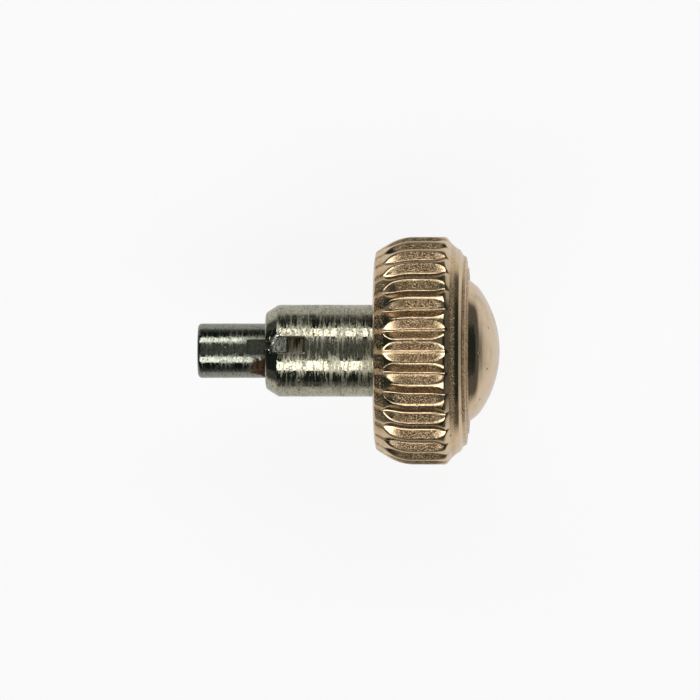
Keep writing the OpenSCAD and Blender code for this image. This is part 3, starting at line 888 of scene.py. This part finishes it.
# %% [markdown]
# ## The return spring
# A compression spring of round wire, with one closed turn at each end. A wire is a tube along a
# path: at each point of the helix a circle is drawn in the plane of the radius and the axis. The
# real spring gets shorter when the crown is pushed in; this one keeps its length and rides on the
# post.

# %% Coil the spring
WIRE_R, COIL_R, COILS = 0.085, 0.53, 7
spring_from, spring_to = ends("post_spring")


def coil_rise(turn, height):
    """Height of the wire's middle: a closed turn at each end and an even rise between them."""
    closed = 2.2 * WIRE_R
    return np.interp(turn, [0, 1, COILS - 1, COILS], [0, closed, height - closed, height])


turn = np.linspace(0, COILS, COILS * 48 + 1)[:, None]
round_wire = columns(12)
wire = WIRE_R * np.ones_like(turn)
wire[[0, -1]] = 0
rise = coil_rise(turn, spring_to - spring_from - 2 * WIRE_R)
coil = turned(spring_from + WIRE_R + rise + wire * np.cos(round_wire),
              COIL_R + wire * np.sin(round_wire), -2 * math.pi * turn)
spring = skin("return_spring", coil)
spring_steel = turned_steel("spring_steel", (0.50, 0.50, 0.50), 0.18, 0.30, rings=5)
place(spring, "post", "post_spring", spring_steel)
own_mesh(spring)

# %% [markdown]
# ## Floor and light
# Polished metal shows the room more than itself, so the room is the last part of the finish. A
# pale sheet curves up at its edge, and gives a plain background from any side. In the metal it
# shows a painted pool of light: its own glow fades with the distance, as paper under a small lamp
# would, which gives the dome its dark crescent and a soft edge beside it. Two long soft lights
# stand to the left and right of the crown's axis and draw the two bright bands along the barrel,
# and a dim panel above keeps the middle from going black. Between them the room is dark, which
# gives the metal its contrast.

# %% The pale sheet
FLOOR_Z, SHEET_R, SHEET_RISE = -3.02, 300.0, 30.0
reach = np.concatenate([np.linspace(0, 0.5, 20), np.linspace(0.52, 1, 30)])[:, None] * SHEET_R
rise = SHEET_RISE * ((reach / SHEET_R - 0.5).clip(0, None) / 0.5) ** 2
around = columns(128)
sheet = skin("pale_sheet", np.stack(np.broadcast_arrays(
    AIM[0] + reach * np.cos(around), reach * np.sin(around), FLOOR_Z + rise), axis=-1))

# %% [markdown]
# The sheet's material asks what kind of ray meets it. The camera sees it almost white, however it
# is lit. A mirroring metal sees a painted pool of light on it, a glow bright near the crown and
# nearly black from 21.5 mm on, and that painted pool is a little shorter along the crown's axis
# than across it. All other light falls on plain pale paper, so the crown keeps its shadow.

# %% Paper that is pale to the eye and shows a painted pool of light in the metal
PALE, SHORTER, BRIGHT_TO, DARK_FROM = 0.88, 1.2, 11.0, 21.5
paper = bpy.data.materials.new("white_paper")
paper.use_nodes = True
paper.node_tree.nodes.clear()
rays = add(paper, "LightPath").outputs
mirrored = sums(paper, "MAXIMUM", rays["Is Glossy Ray"], rays["Is Transmission Ray"])
seen = sums(paper, "MAXIMUM", rays["Is Camera Ray"], mirrored)
where = add(paper, "TexCoord").outputs["Object"]
patch = add(paper, "Mapping", {"Vector": where, "Location": (-SHORTER * AIM[0] * MM, 0, 0),
                               "Scale": (SHORTER, 1, 1)}).outputs[0]
far = add(paper, "VectorMath", {0: patch}, operation="LENGTH").outputs["Value"]
# Painted pool of light: for mirrored rays the paper glows 0.70 near the crown and 0.02 far off, a
# glow of its own and not lamp light.
painted_pool_in_metal = between(paper, far, BRIGHT_TO * MM, DARK_FROM * MM, 0.70, 0.02)
brightness = sums(paper, "ADD", rays["Is Camera Ray"], sums(paper, "MULTIPLY", mirrored, painted_pool_in_metal))
lit = add(paper, "BsdfDiffuse", {"Color": (PALE, PALE, PALE, 1)}).outputs[0]
plain = add(paper, "Emission", {"Color": (1, 1, 1, 1), "Strength": brightness}).outputs[0]
share = sums(paper, "MULTIPLY", seen, PALE)
surface = add(paper, "MixShader", {0: share, 1: lit, 2: plain}).outputs[0]
add(paper, "OutputMaterial", {"Surface": surface})
sheet.data.materials.append(paper)

# %% Lamps and room
def soft_light(name, sideways, along, size, brightness, far=450.0):
    """A rectangular light far millimetres away, leaning by two angles from the vertical.

    Sideways leans towards +Y and along towards +X, in degrees. A rectangle of area A whose
    surface shines with brightness L needs the power pi L A.
    """
    a, b = math.radians(sideways), math.radians(along)
    out = np.array([math.sin(b), math.cos(b) * math.sin(a), math.cos(b) * math.cos(a)])
    lamp = bpy.data.lights.new(name, "AREA")
    lamp.shape = "RECTANGLE"
    lamp.size, lamp.size_y = size[0] * MM, size[1] * MM
    lamp.energy = math.pi * brightness * lamp.size * lamp.size_y
    holder = bpy.data.objects.new(name, lamp)
    holder.location = (AIM + far * out) * MM
    x_axis = np.array([math.cos(b), -math.sin(b) * math.sin(a), -math.sin(b) * math.cos(a)])
    axes = np.column_stack([x_axis, np.cross(out, x_axis), out])
    holder.rotation_euler = Matrix(axes.tolist()).to_euler()
    holder.visible_camera = False
    bpy.context.collection.objects.link(holder)
    print(f"{name}: {lamp.energy:.2f} W")


soft_light("strip_far_side", 47, 0, (800, 165), 2.9)
soft_light("strip_near_side", -38.5, 0, (800, 195), 2.9)
soft_light("top_panel", 6, 0, (600, 640), 0.12, far=700)

room = bpy.data.worlds.new("dim_room")
room.use_nodes = True
room.node_tree.nodes["Background"].inputs["Color"].default_value = (0.016, 0.024, 0.022, 1)
bpy.context.scene.world = room
bpy.context.scene.view_settings.view_transform = "Standard"
